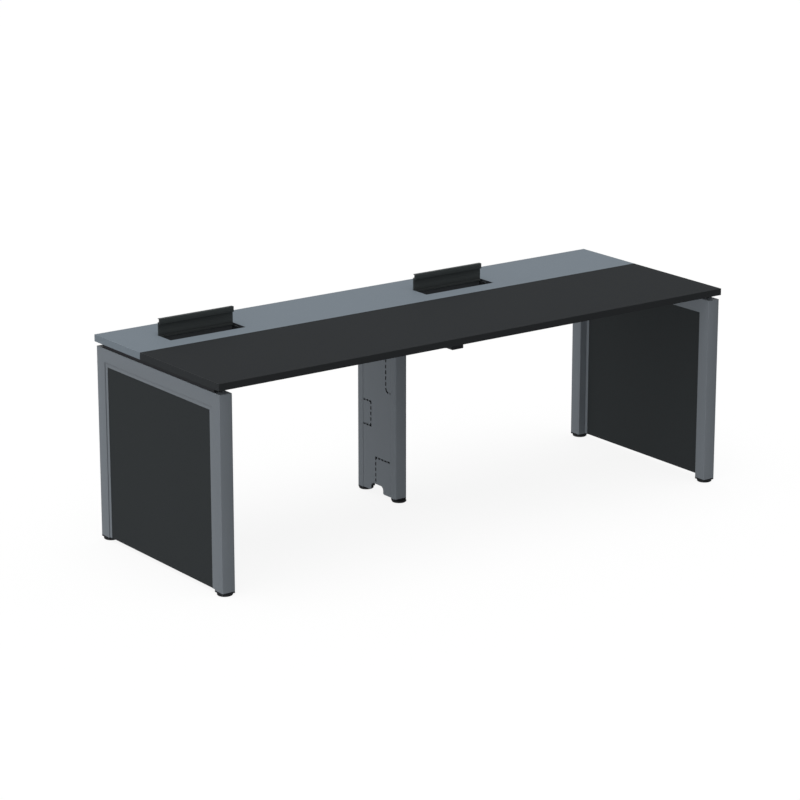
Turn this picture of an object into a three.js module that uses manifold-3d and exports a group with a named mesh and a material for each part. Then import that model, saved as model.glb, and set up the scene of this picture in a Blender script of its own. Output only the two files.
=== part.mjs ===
// Benching desk for two: two boards on two panelled end frames and a middle cable riser.
// Millimetres, +Z up, +X along the desk, +Y to the rear, origin on the floor at the middle.
import * as THREE from "three";
import { mergeVertices } from "three/addons/utils/BufferGeometryUtils.js";
import Module from "manifold-3d";

// The desk as a whole
const LENGTH = 2220;
const DEPTH = 800;
const HEIGHT = 750;
const TOP_THICKNESS = 25;
const SERVICE_DEPTH = 303;
const TOP_OVERHANG = 5;
const TOP_TO_FRAME = 15.5;

// Gaps between pieces that touch, and round the hinge rods
const SEAT = 0.3;
const RUNNING_FIT = 0.1;

// Square tube of the legs, rails and cross arm
const TUBE = 50;
const TUBE_WALL = 2;
const TUBE_CORNER = 1.5;

// Packing strips between the frames and the boards
const SPACER_WIDTH = 45;
const SPACER_INSET = 37;

// End panels and their edge trim
const PANEL_THICKNESS = 16;
const PANEL_BOTTOM = 15;
const PANEL_GAP = 2.4;
const PANEL_TOP_GAP = 0.8;
const TRIM_RECESS = 2.5;
const TRIM_FLANGE = 14;
const TRIM_SHEET = 1;
const WASHER_DIAMETER = 14;
const LOWER_WASHER_HEIGHT = 140;
const UPPER_WASHER_HEIGHT = 530;

// Levelling feet and the plugs that hold them
const FOOT_DIAMETER = 55;
const FOOT_HEIGHT = 7.4;
const FOOT_EDGE = 1.2;
const STUD_DIAMETER = 10;
const STUD_LENGTH = 48;
const STUD_POINT = 1.5;
const PLUG_HEAD = 5;
const PLUG_DEPTH = 26;
const PLUG_CORE_INSET = 2.5;
const PLUG_RIB = 2;
const PLUG_RIBS = 3;

// Middle riser
const RISER_WIDTH = 55;
const RISER_DEPTH = 238;
const RISER_CORNER = 8;
const RISER_PLATE = 4;
const FRONT_UPRIGHT_DEPTH = 25;
const REAR_UPRIGHT_DEPTH = 36;
const UPRIGHT_SHEET = 2;
const UPRIGHT_LIP = 12;
const COVER_SHEET = 2;
const COVER_FLANGE = 12;
const COVER_INSIDE_BEND = 1;
const COVER_BOTTOM = 15;

// Cable notch at the floor and the perforated knock-outs in the riser covers
const NOTCH_WIDTH = 76;
const NOTCH_FROM_FRONT = 49;
const NOTCH_TOP = 44;
const NOTCH_CORNER = 16;
const NOTCH_FOOT_CORNER = 6;
const DASH = 14;
const BRIDGE = 8;
const SLOT_WIDTH = 7;
const KNOCKOUT_MARGIN = 3;
const TALL_KNOCKOUT_WIDTH = 32;
const TALL_KNOCKOUT_BOTTOM = 414;
const TALL_KNOCKOUT_CORNER = 16;
const REAR_KNOCKOUT_WIDTH = 50;
const REAR_KNOCKOUT_BOTTOM = 263;
const REAR_KNOCKOUT_HEIGHT = 94;
const LOW_KNOCKOUT_WIDTH = 96;
const LOW_KNOCKOUT_TOP = 147;

// Cross arm on the riser
const ARM_FRONT_SETBACK = 156;
const ARM_REAR_SETBACK = 20;
const ARM_CAP = 4;
const ARM_CAP_SPIGOT = 18;

// Long beams between the arm and the end frames
const BEAM_WIDTH = 25;
const BEAM_WALL = 2;
const BEAM_PLATE = 4;
const BEAM_PLATE_WIDTH = 56;
const FRONT_BEAM_SETBACK = 220;
const REAR_BEAM_SETBACK = 55;

// Cable trays under the ports
const TRAY_WIDTH = 200;
const TRAY_DEPTH = 85;
const TRAY_FLANGE = 32;
const TRAY_SHEET = 1.5;
const TRAY_END_GAP = 10;

// Cable ports in the rear board
const PORT_WIDTH = 313;
const PORT_DEPTH = 90.3;
const PORT_OFFSET = 227.5;
const SERVICE_LINE_FROM_REAR = 184;
const LINER_DEPTH = 45;
const LINER_END_WALL = 1.2;
const LINER_FRONT_WALL = 1.5;
const LINER_REAR_WALL = 3;
const LINER_FLANGE = 10;
const LINER_FLANGE_SHEET = 2;
const LEDGE_REACH = 6;
const LEDGE_LENGTH = 24;
const LEDGE_THICKNESS = 4;
const LEDGE_FROM_AXIS = 17;

// Flip lids and their hinge rods
const ROD_DIAMETER = 4;
const LID_PLAY = 0.5;
const LID_WALL = 6;
const LID_HEEL = 5;
const LID_PLATE = 52;
const LID_REACH = 66;
const LID_GROOVE_DEPTH = 7.5;
const LID_TIP = 1.5;

// How finely the round stretches are cut
const CORNER_STEPS = 4;
const ROUND_STEPS = 32;

// Places that several pieces share
const underside = HEIGHT - TOP_THICKNESS;
const frameTop = underside - TOP_TO_FRAME;
const spacerMiddle = frameTop + TOP_TO_FRAME / 2;
const railMiddle = frameTop - TUBE / 2;
const railBottom = frameTop - TUBE;
const legBottom = FOOT_HEIGHT + SEAT + PLUG_HEAD + SEAT;
const frameX = LENGTH / 2 - TOP_OVERHANG - TUBE / 2;
const legY = DEPTH / 2 - TOP_OVERHANG - TUBE / 2;
const seamY = DEPTH / 2 - SERVICE_DEPTH;
const serviceY = DEPTH / 2 - SERVICE_LINE_FROM_REAR;
const riserFront = serviceY - RISER_DEPTH / 2;
const riserRear = serviceY + RISER_DEPTH / 2;
const coverFront = riserFront + FRONT_UPRIGHT_DEPTH + SEAT;
const coverDepth = riserRear - REAR_UPRIGHT_DEPTH - SEAT - coverFront;
const armFront = -DEPTH / 2 + ARM_FRONT_SETBACK;
const armRear = DEPTH / 2 - ARM_REAR_SETBACK;
const hingeY = PORT_DEPTH / 2 - SEAT - LINER_REAR_WALL - SEAT - LID_HEEL;
const hingeZ = -LID_HEEL;

const FINISHES = {
  blackBoard: { color: 0x313334, roughness: 0.55, metalness: 0 },
  greyBoard: { color: 0x727b83, roughness: 0.5, metalness: 0 },
  greyPaint: { color: 0x777d83, roughness: 0.5, metalness: 0.1 },
  darkBoard: { color: 0x35383a, roughness: 0.6, metalness: 0 },
  blackPaint: { color: 0x24272a, roughness: 0.5, metalness: 0.1 },
  blackPlastic: { color: 0x0e1012, roughness: 0.55, metalness: 0 },
  brightSteel: { color: 0xa9adb0, roughness: 0.3, metalness: 1 },
};

const wasm = await Module();
wasm.setup();

// A closed geometry as a solid that can be joined and cut.
function solid(geometry) {
  const bare = geometry.clone();
  bare.deleteAttribute("normal");
  bare.deleteAttribute("uv");
  const merged = mergeVertices(bare);
  const vertProperties = merged.attributes.position.array;
  const triVerts = new Uint32Array(merged.index.array);
  return new wasm.Manifold(new wasm.Mesh({ numProp: 3, vertProperties, triVerts }));
}

// A joined or cut solid back as a geometry.
function geometryOf(body) {
  const { vertProperties, triVerts } = body.getMesh();
  const geometry = new THREE.BufferGeometry();
  geometry.setAttribute("position", new THREE.BufferAttribute(vertProperties, 3));
  geometry.setIndex(new THREE.BufferAttribute(triVerts, 1));
  geometry.computeVertexNormals();
  return geometry;
}

// One named piece with its own finish.
function piece(name, geometry, finish, x, y, z) {
  const mesh = new THREE.Mesh(geometry, new THREE.MeshStandardMaterial(FINISHES[finish]));
  mesh.name = name;
  mesh.position.set(x, y, z);
  return mesh;
}

// A centred box, moved to its middle.
function block(width, depth, height, x = 0, y = 0, z = 0) {
  return new THREE.BoxGeometry(width, depth, height).translate(x, y, z);
}

// A profile pushed up from the plan.
function extrude(shape, length) {
  const options = { depth: length, bevelEnabled: false, curveSegments: CORNER_STEPS };
  return new THREE.ExtrudeGeometry(shape, options);
}

// A profile drawn in (y, z), pushed along X and centred there.
function extrudeAlongX(shape, length) {
  const turn = new THREE.Matrix4().makeBasis(
    new THREE.Vector3(0, 1, 0),
    new THREE.Vector3(0, 0, 1),
    new THREE.Vector3(1, 0, 0),
  );
  return extrude(shape, length).translate(0, 0, -length / 2).applyMatrix4(turn);
}

// A profile drawn in (z, x), pushed along Y and centred there.
function extrudeAlongY(shape, length) {
  const turn = new THREE.Matrix4().makeBasis(
    new THREE.Vector3(0, 0, 1),
    new THREE.Vector3(1, 0, 0),
    new THREE.Vector3(0, 1, 0),
  );
  return extrude(shape, length).translate(0, 0, -length / 2).applyMatrix4(turn);
}

// A rectangle centred on a point, as a shape or as a hole.
function rectangle(width, height, x = 0, y = 0) {
  const shape = new THREE.Shape();
  shape.moveTo(x - width / 2, y - height / 2);
  shape.lineTo(x + width / 2, y - height / 2);
  shape.lineTo(x + width / 2, y + height / 2);
  shape.lineTo(x - width / 2, y + height / 2);
  shape.closePath();
  return shape;
}

// A centred rectangle with round corners.
function roundedRectangle(width, height, radius) {
  const x = width / 2 - radius;
  const y = height / 2 - radius;
  const shape = new THREE.Shape();
  shape.absarc(x, y, radius, 0, Math.PI / 2);
  shape.absarc(-x, y, radius, Math.PI / 2, Math.PI);
  shape.absarc(-x, -y, radius, Math.PI, 1.5 * Math.PI);
  shape.absarc(x, -y, radius, 1.5 * Math.PI, 2 * Math.PI);
  shape.closePath();
  return shape;
}

// The section of the hollow frame tube.
function tubeSection() {
  const section = roundedRectangle(TUBE, TUBE, TUBE_CORNER);
  section.holes.push(rectangle(TUBE - 2 * TUBE_WALL, TUBE - 2 * TUBE_WALL));
  return section;
}

// The waste of a 45 degree mitre in the YZ plane, with the outer corner of the joint at its origin:
// what lies past the joint of an upright piece, or past the joint of a level one.
function mitreWaste(reach, width, level) {
  const back = level ? SEAT * Math.SQRT1_2 : -SEAT * Math.SQRT1_2;
  const far = level ? -reach : reach;
  const shape = new THREE.Shape();
  shape.moveTo(-reach, reach + back);
  shape.lineTo(reach, -reach + back);
  shape.lineTo(far, far);
  shape.closePath();
  return extrudeAlongX(shape, width);
}

// A leg: square tube standing on its plug, its top mitred to meet the rail behind it.
function legGeometry() {
  const height = frameTop - legBottom;
  const waste = mitreWaste(2 * TUBE, 2 * TUBE, false).translate(0, -TUBE / 2, height);
  return geometryOf(solid(extrude(tubeSection(), height)).subtract(solid(waste)));
}

// A top rail: square tube along Y, mitred at both ends.
function railGeometry() {
  const length = 2 * legY + TUBE;
  const frontWaste = mitreWaste(2 * TUBE, 2 * TUBE, true).translate(0, -length / 2, TUBE / 2);
  const rearWaste = frontWaste.clone().rotateZ(Math.PI);
  const tube = solid(extrudeAlongY(tubeSection(), length));
  return geometryOf(tube.subtract(solid(frontWaste)).subtract(solid(rearWaste)));
}

// Edge trim: a channel that wraps the panel's edge, its web on y = 0 and its flanges towards +Y.
function trimSection() {
  const half = PANEL_THICKNESS / 2 + SEAT + TRIM_SHEET;
  const slot = half - TRIM_SHEET;
  const section = new THREE.Shape();
  section.moveTo(-half, 0);
  section.lineTo(half, 0);
  section.lineTo(half, TRIM_FLANGE);
  section.lineTo(slot, TRIM_FLANGE);
  section.lineTo(slot, TRIM_SHEET);
  section.lineTo(-slot, TRIM_SHEET);
  section.lineTo(-slot, TRIM_FLANGE);
  section.lineTo(-half, TRIM_FLANGE);
  section.closePath();
  return section;
}

const trimSide = legY - TUBE / 2 - PANEL_GAP;
const trimTop = railBottom - PANEL_TOP_GAP;

// The upright trim on the panel's front edge, mitred at the top.
function sideTrimGeometry() {
  const height = trimTop - PANEL_BOTTOM;
  const waste = mitreWaste(2 * TRIM_FLANGE, 2 * PANEL_THICKNESS, false).translate(0, 0, height);
  return geometryOf(solid(extrude(trimSection(), height)).subtract(solid(waste)));
}

// The level trim on the panel's top edge, mitred at both ends.
function topTrimGeometry() {
  const length = 2 * trimSide;
  const channel = extrude(trimSection(), length).translate(0, 0, -length / 2).rotateX(-Math.PI / 2);
  const frontWaste = mitreWaste(2 * TRIM_FLANGE, 2 * PANEL_THICKNESS, true).translate(0, -length / 2, 0);
  const rearWaste = frontWaste.clone().rotateZ(Math.PI);
  return geometryOf(solid(channel).subtract(solid(frontWaste)).subtract(solid(rearWaste)));
}

// The board that fills an end frame, held in its trim.
function panelGeometry() {
  const edge = TRIM_SHEET + SEAT;
  const height = trimTop - edge - PANEL_BOTTOM;
  return block(PANEL_THICKNESS, 2 * (trimSide - edge), height, 0, 0, height / 2);
}

// A spacer washer that keeps the panel off its leg, with its axis along Y.
function washerGeometry() {
  const radius = WASHER_DIAMETER / 2;
  return new THREE.CylinderGeometry(radius, radius, PANEL_GAP - 2 * SEAT, ROUND_STEPS);
}

// The bore in a plug for the stud of a foot.
function studBore() {
  const radius = STUD_DIAMETER / 2 + SEAT;
  const length = 2 * (PLUG_HEAD + PLUG_DEPTH);
  return new THREE.CylinderGeometry(radius, radius, 2 * length, ROUND_STEPS).rotateX(Math.PI / 2);
}

// A ribbed plug for a leg: its head closes the tube's end and its ribs grip the wall inside.
function legPlugGeometry() {
  const grip = TUBE - 2 * TUBE_WALL - 2 * SEAT;
  const core = grip - 2 * PLUG_CORE_INSET;
  const height = PLUG_HEAD + PLUG_DEPTH;
  const ribPitch = (PLUG_DEPTH - PLUG_RIB) / PLUG_RIBS;
  let plug = solid(extrude(roundedRectangle(TUBE, TUBE, TUBE_CORNER), PLUG_HEAD));
  plug = plug.add(solid(block(core, core, height, 0, 0, height / 2)));
  for (let rib = 1; rib <= PLUG_RIBS; rib += 1) {
    const middle = PLUG_HEAD + rib * ribPitch;
    plug = plug.add(solid(block(grip, grip, PLUG_RIB, 0, 0, middle)));
  }
  return geometryOf(plug.subtract(solid(studBore())));
}

// A levelling foot: round pad with its threaded stud, turned in one profile.
function footGeometry() {
  const pad = FOOT_DIAMETER / 2;
  const stud = STUD_DIAMETER / 2;
  const top = FOOT_HEIGHT + STUD_LENGTH;
  const profile = [
    new THREE.Vector2(0, 0),
    new THREE.Vector2(pad - FOOT_EDGE, 0),
    new THREE.Vector2(pad, FOOT_EDGE),
    new THREE.Vector2(pad, FOOT_HEIGHT - FOOT_EDGE),
    new THREE.Vector2(pad - FOOT_EDGE, FOOT_HEIGHT),
    new THREE.Vector2(stud, FOOT_HEIGHT),
    new THREE.Vector2(stud, top - STUD_POINT),
    new THREE.Vector2(stud - STUD_POINT, top),
    new THREE.Vector2(0, top),
  ];
  return geometryOf(solid(new THREE.LatheGeometry(profile, ROUND_STEPS).rotateX(Math.PI / 2)));
}

// The outline of a riser upright in plan, drawn in by an inset: round at the web, square behind.
function uprightOutline(depth, inset) {
  const half = RISER_WIDTH / 2 - inset;
  const radius = Math.max(RISER_CORNER - inset, inset);
  const web = inset;
  const open = depth - inset;
  const outline = new THREE.Shape();
  outline.moveTo(half, open);
  outline.lineTo(-half, open);
  outline.absarc(-half + radius, web + radius, radius, Math.PI, 1.5 * Math.PI);
  outline.absarc(half - radius, web + radius, radius, 1.5 * Math.PI, 2 * Math.PI);
  outline.closePath();
  return outline;
}

// A riser upright: folded channel with its web on y = 0 and lips turned in on the open side.
function uprightGeometry(depth) {
  const height = railBottom - SEAT - RISER_PLATE - SEAT - legBottom;
  const mouth = RISER_WIDTH - 2 * UPRIGHT_LIP;
  const section = uprightOutline(depth, 0);
  section.holes.push(uprightOutline(depth, UPRIGHT_SHEET));
  const throat = block(mouth, 2 * UPRIGHT_SHEET, 2 * height, 0, depth, height / 2);
  return geometryOf(solid(extrude(section, height)).subtract(solid(throat)));
}

// The plug in the foot of an upright, with a head of the same outline.
function uprightPlugGeometry(depth) {
  const body = solid(extrude(uprightOutline(depth, UPRIGHT_SHEET + SEAT), PLUG_HEAD + PLUG_DEPTH));
  const plug = solid(extrude(uprightOutline(depth, 0), PLUG_HEAD)).add(body);
  return geometryOf(plug.subtract(solid(studBore().translate(0, depth / 2, 0))));
}

// The plate on top of the uprights that bolts to the cross arm.
function riserPlateGeometry() {
  return extrude(roundedRectangle(RISER_WIDTH, RISER_DEPTH, RISER_CORNER), RISER_PLATE);
}

// The section of a riser cover in plan: a shallow channel, its face on x = 0 and its flanges inward.
function coverSection() {
  const outer = COVER_INSIDE_BEND + COVER_SHEET;
  const rear = coverDepth;
  const section = new THREE.Shape();
  section.moveTo(COVER_FLANGE, 0);
  section.lineTo(outer, 0);
  section.absarc(outer, outer, outer, 1.5 * Math.PI, Math.PI, true);
  section.absarc(outer, rear - outer, outer, Math.PI, Math.PI / 2, true);
  section.lineTo(COVER_FLANGE, rear);
  section.lineTo(COVER_FLANGE, rear - COVER_SHEET);
  section.absarc(outer, rear - outer, COVER_INSIDE_BEND, Math.PI / 2, Math.PI);
  section.absarc(outer, outer, COVER_INSIDE_BEND, Math.PI, 1.5 * Math.PI);
  section.lineTo(COVER_FLANGE, COVER_SHEET);
  section.closePath();
  return section;
}

// The cable notch at the foot of a cover, with round top corners and eased lower ones.
function notchWaste() {
  const front = NOTCH_FROM_FRONT;
  const rear = front + NOTCH_WIDTH;
  const top = NOTCH_TOP - COVER_BOTTOM;
  const corner = NOTCH_CORNER;
  const foot = NOTCH_FOOT_CORNER;
  const shape = new THREE.Shape();
  shape.moveTo(front - foot, -foot);
  shape.lineTo(front - foot, 0);
  shape.absarc(front - foot, foot, foot, 1.5 * Math.PI, 2 * Math.PI);
  shape.absarc(front + corner, top - corner, corner, Math.PI, Math.PI / 2, true);
  shape.absarc(rear - corner, top - corner, corner, Math.PI / 2, 0, true);
  shape.absarc(rear + foot, foot, foot, Math.PI, 1.5 * Math.PI);
  shape.lineTo(rear + foot, -foot);
  shape.closePath();
  return extrudeAlongX(shape, 4 * COVER_SHEET);
}

// The slots of one straight perforated line: dashes with even bridges, the first and last at its ends.
function perforations(startY, startZ, endY, endZ) {
  const start = new THREE.Vector2(startY, startZ);
  const run = new THREE.Vector2(endY, endZ).sub(start);
  const length = run.length();
  const dash = Math.min(DASH, length);
  const count = Math.max(Math.round((length + BRIDGE) / (DASH + BRIDGE)), 1);
  const pitch = (length - dash) / Math.max(count - 1, 1);
  return Array.from({ length: count }, (_, index) => {
    const middle = run.clone().setLength(dash / 2 + index * pitch).add(start);
    const slot = block(4 * COVER_SHEET, dash, SLOT_WIDTH);
    return slot.rotateX(run.angle()).translate(0, middle.x, middle.y);
  });
}

// The curved slot round the foot of the tall knock-out, about the middle of its bend.
function bendSlot(y, z) {
  const band = new THREE.Shape();
  band.absarc(y, z, TALL_KNOCKOUT_CORNER + SLOT_WIDTH / 2, 0, -Math.PI / 2, true);
  band.absarc(y, z, TALL_KNOCKOUT_CORNER - SLOT_WIDTH / 2, -Math.PI / 2, 0);
  band.closePath();
  return extrudeAlongX(band, 4 * COVER_SHEET);
}

// The slots of the three knock-outs on a cover, each open along the edge it breaks to.
function knockoutSlots(height) {
  const corner = SLOT_WIDTH / 2;
  const rearEnd = coverDepth - KNOCKOUT_MARGIN;

  const tall = TALL_KNOCKOUT_WIDTH;
  const tallBottom = TALL_KNOCKOUT_BOTTOM - COVER_BOTTOM;
  const bendY = tall - TALL_KNOCKOUT_CORNER;
  const bendZ = tallBottom + TALL_KNOCKOUT_CORNER;

  const rear = coverDepth - REAR_KNOCKOUT_WIDTH;
  const rearBottom = REAR_KNOCKOUT_BOTTOM - COVER_BOTTOM;
  const rearTop = rearBottom + REAR_KNOCKOUT_HEIGHT;

  const low = LOW_KNOCKOUT_WIDTH;
  const lowTop = LOW_KNOCKOUT_TOP - COVER_BOTTOM;
  const lowEnd = NOTCH_TOP - COVER_BOTTOM + BRIDGE;
  return [
    bendSlot(bendY, bendZ),
    ...perforations(tall, bendZ + BRIDGE, tall, height - KNOCKOUT_MARGIN),
    ...perforations(bendY - BRIDGE, tallBottom, KNOCKOUT_MARGIN, tallBottom),
    ...perforations(rear - corner, rearTop, rearEnd, rearTop),
    ...perforations(rear, rearTop + corner, rear, rearBottom - corner),
    ...perforations(rear - corner, rearBottom, rearEnd, rearBottom),
    ...perforations(low + corner, lowTop, BRIDGE, lowTop),
    ...perforations(low, lowTop + corner, low, lowEnd),
  ];
}

// A riser cover: folded sheet with the floor notch and the perforated knock-outs cut through it.
function coverGeometry() {
  const height = railBottom - SEAT - RISER_PLATE - SEAT - COVER_BOTTOM;
  let cover = solid(extrude(coverSection(), height)).subtract(solid(notchWaste()));
  for (const slot of knockoutSlots(height)) {
    cover = cover.subtract(solid(slot));
  }
  return geometryOf(cover);
}

// The cross arm: the frame's tube, laid along Y on the riser.
function armGeometry() {
  return extrudeAlongY(tubeSection(), armRear - armFront - 2 * (ARM_CAP + SEAT));
}

// A cap for an open end of the arm, its face on y = 0 and its spigot towards +Y.
function armCapGeometry() {
  const grip = TUBE - 2 * TUBE_WALL - 2 * SEAT;
  const length = ARM_CAP + ARM_CAP_SPIGOT;
  const face = extrudeAlongY(roundedRectangle(TUBE, TUBE, TUBE_CORNER), ARM_CAP);
  const spigot = block(grip, length, grip, 0, length / 2, 0);
  return geometryOf(solid(face.translate(0, ARM_CAP / 2, 0)).add(solid(spigot)));
}

// A long beam: flat tube along X with a bolting plate welded to each end.
function beamGeometry() {
  const length = frameX - TUBE - 2 * SEAT;
  const hollow = block(2 * length, BEAM_WIDTH - 2 * BEAM_WALL, TUBE - 2 * BEAM_WALL);
  let beam = solid(block(length, BEAM_WIDTH, TUBE));
  for (const end of [-1, 1]) {
    beam = beam.add(solid(block(BEAM_PLATE, BEAM_PLATE_WIDTH, TUBE, end * (length - BEAM_PLATE) / 2)));
  }
  return geometryOf(beam.subtract(solid(hollow)));
}

// A cable tray: folded trough along X, with flanges that screw up into the boards.
function trayGeometry() {
  const wall = TRAY_WIDTH / 2;
  const lip = wall + TRAY_FLANGE;
  const section = new THREE.Shape();
  section.moveTo(-lip, 0);
  section.lineTo(-lip, -TRAY_SHEET);
  section.lineTo(-wall, -TRAY_SHEET);
  section.lineTo(-wall, -TRAY_DEPTH);
  section.lineTo(wall, -TRAY_DEPTH);
  section.lineTo(wall, -TRAY_SHEET);
  section.lineTo(lip, -TRAY_SHEET);
  section.lineTo(lip, 0);
  section.lineTo(wall - TRAY_SHEET, 0);
  section.lineTo(wall - TRAY_SHEET, -TRAY_DEPTH + TRAY_SHEET);
  section.lineTo(-wall + TRAY_SHEET, -TRAY_DEPTH + TRAY_SHEET);
  section.lineTo(-wall + TRAY_SHEET, 0);
  section.closePath();
  return extrudeAlongX(section, trayLength);
}

const trayLength = frameX - TUBE / 2 - RISER_WIDTH / 2 - 2 * TRAY_END_GAP;
const portCentres = { left: -LENGTH / 4 - PORT_OFFSET, right: LENGTH / 4 - PORT_OFFSET };

// The rear board with its two cable ports cut through it.
function serviceTopGeometry() {
  let board = solid(block(LENGTH, SERVICE_DEPTH, TOP_THICKNESS, 0, DEPTH / 2 - SERVICE_DEPTH / 2));
  for (const x of Object.values(portCentres)) {
    board = board.subtract(solid(block(PORT_WIDTH, PORT_DEPTH, 2 * TOP_THICKNESS, x, serviceY)));
  }
  return geometryOf(board);
}

const linerWidth = PORT_WIDTH - 2 * SEAT;
const linerDepth = PORT_DEPTH - 2 * SEAT;
const linerInside = linerWidth - 2 * LINER_END_WALL;

// A rod-sized cylinder along X on the hinge axis.
function hingeRound(radius, length) {
  const round = new THREE.CylinderGeometry(radius, radius, length, ROUND_STEPS);
  return round.rotateZ(Math.PI / 2).translate(0, hingeY, hingeZ);
}

// A port liner: moulded frame in the cut-out, flanged under the board, with ledges for the closed lid
// and holes for the hinge rod. Its origin is the port's centre on the desk's surface.
function linerGeometry() {
  const depth = linerDepth - LINER_FRONT_WALL - LINER_REAR_WALL;
  const middle = (LINER_FRONT_WALL - LINER_REAR_WALL) / 2;
  const height = LINER_DEPTH - SEAT;
  const flangeZ = -TOP_THICKNESS - SEAT - LINER_FLANGE_SHEET / 2;
  const ledgeY = hingeY - LEDGE_FROM_AXIS - LEDGE_LENGTH / 2;
  const ledgeZ = hingeZ + LID_HEEL - LID_WALL - SEAT - LEDGE_THICKNESS / 2;
  let liner = solid(block(linerWidth, linerDepth, height, 0, 0, -SEAT - height / 2));
  const flangeWidth = linerWidth + 2 * LINER_FLANGE;
  const flangeDepth = linerDepth + 2 * LINER_FLANGE;
  liner = liner.add(solid(block(flangeWidth, flangeDepth, LINER_FLANGE_SHEET, 0, 0, flangeZ)));
  liner = liner.subtract(solid(block(linerInside, depth, 4 * LINER_DEPTH, 0, middle)));
  for (const end of [-1, 1]) {
    const reach = LEDGE_REACH + LINER_END_WALL;
    const x = end * (linerWidth - reach) / 2;
    liner = liner.add(solid(block(reach, LEDGE_LENGTH, LEDGE_THICKNESS, x, ledgeY, ledgeZ)));
  }
  return geometryOf(liner.subtract(solid(hingeRound(ROD_DIAMETER / 2 + RUNNING_FIT, 2 * PORT_WIDTH))));
}

// A flip lid in its open place: an extrusion with a round heel on the rod, a flat plate,
// and a finger groove behind a thin tip along its free edge.
function lidGeometry() {
  const back = LID_HEEL;
  const front = LID_HEEL - LID_WALL;
  const grooveBack = back - LID_GROOVE_DEPTH;
  const grooveFront = grooveBack - LID_WALL;
  const section = new THREE.Shape();
  section.moveTo(back, LID_PLATE);
  section.lineTo(grooveBack, LID_PLATE);
  section.lineTo(grooveBack, LID_REACH - LID_TIP);
  section.lineTo(back, LID_REACH - LID_TIP);
  section.lineTo(back, LID_REACH);
  section.lineTo(grooveFront, LID_REACH);
  section.lineTo(grooveFront, LID_PLATE - LID_WALL);
  section.lineTo(front, LID_PLATE - LID_WALL);
  section.absarc(0, 0, LID_HEEL, Math.acos(front / LID_HEEL), 2 * Math.PI);
  section.closePath();
  const lid = solid(extrudeAlongX(section, linerInside - 2 * LID_PLAY).translate(0, hingeY, hingeZ));
  const bore = hingeRound(ROD_DIAMETER / 2 + RUNNING_FIT, 2 * PORT_WIDTH);
  return geometryOf(lid.subtract(solid(bore)));
}

// A packing strip between a tube and the boards.
function spacerGeometry(length) {
  return block(SPACER_WIDTH, length, TOP_TO_FRAME - 2 * SEAT);
}

// One end frame: two legs, a rail, the trimmed panel on its washers, plugs, feet and packing strip.
function endFrame(side, sign) {
  const group = new THREE.Group();
  const panelX = sign * (TUBE / 2 - TRIM_RECESS - TRIM_SHEET - SEAT - PANEL_THICKNESS / 2);
  const strip = spacerGeometry(2 * legY + TUBE - 2 * SPACER_INSET);
  group.position.x = sign * frameX;
  group.add(piece(`${side}_top_rail`, railGeometry(), "greyPaint", 0, 0, railMiddle));
  group.add(piece(`${side}_rail_spacer`, strip, "blackPlastic", 0, 0, spacerMiddle));
  group.add(piece(`${side}_end_panel`, panelGeometry(), "darkBoard", panelX, 0, PANEL_BOTTOM));
  group.add(piece(`${side}_top_trim`, topTrimGeometry(), "greyPaint", panelX, 0, trimTop));
  for (const [end, turn] of [["front", -1], ["rear", 1]]) {
    const name = `${side}_${end}`;
    const y = turn * legY;
    const trimY = turn * trimSide;
    const washerY = turn * (trimSide + PANEL_GAP / 2);
    const leg = piece(`${name}_leg`, legGeometry(), "greyPaint", 0, y, legBottom);
    const trim = piece(`${name}_trim`, sideTrimGeometry(), "greyPaint", panelX, trimY, PANEL_BOTTOM);
    leg.rotation.z = turn > 0 ? Math.PI : 0;
    trim.rotation.z = leg.rotation.z;
    group.add(leg, trim);
    group.add(piece(`${name}_plug`, legPlugGeometry(), "blackPlastic", 0, y, FOOT_HEIGHT + SEAT));
    group.add(piece(`${name}_foot`, footGeometry(), "blackPlastic", 0, y, 0));
    for (const [level, z] of [["lower", LOWER_WASHER_HEIGHT], ["upper", UPPER_WASHER_HEIGHT]]) {
      group.add(piece(`${name}_${level}_washer`, washerGeometry(), "blackPlastic", panelX, washerY, z));
    }
  }
  return group;
}

// The middle riser: two uprights on feet, two perforated covers and the top plate.
function riser() {
  const group = new THREE.Group();
  const ends = [
    ["front", riserFront, 1, FRONT_UPRIGHT_DEPTH],
    ["rear", riserRear, -1, REAR_UPRIGHT_DEPTH],
  ];
  for (const [end, y, turn, depth] of ends) {
    const upright = piece(`riser_${end}_upright`, uprightGeometry(depth), "greyPaint", 0, y, legBottom);
    const plugBody = uprightPlugGeometry(depth);
    const plug = piece(`riser_${end}_plug`, plugBody, "blackPlastic", 0, y, FOOT_HEIGHT + SEAT);
    const footY = y + turn * depth / 2;
    upright.rotation.z = turn > 0 ? 0 : Math.PI;
    plug.rotation.z = upright.rotation.z;
    group.add(upright, plug, piece(`riser_${end}_foot`, footGeometry(), "blackPlastic", 0, footY, 0));
  }
  for (const [side, sign] of [["left", -1], ["right", 1]]) {
    const x = sign * RISER_WIDTH / 2;
    const cover = piece(`riser_${side}_cover`, coverGeometry(), "greyPaint", x, coverFront, COVER_BOTTOM);
    cover.scale.x = -sign;
    group.add(cover);
  }
  const plateZ = railBottom - SEAT - RISER_PLATE;
  group.add(piece("riser_top_plate", riserPlateGeometry(), "blackPaint", 0, serviceY, plateZ));
  return group;
}

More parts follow.
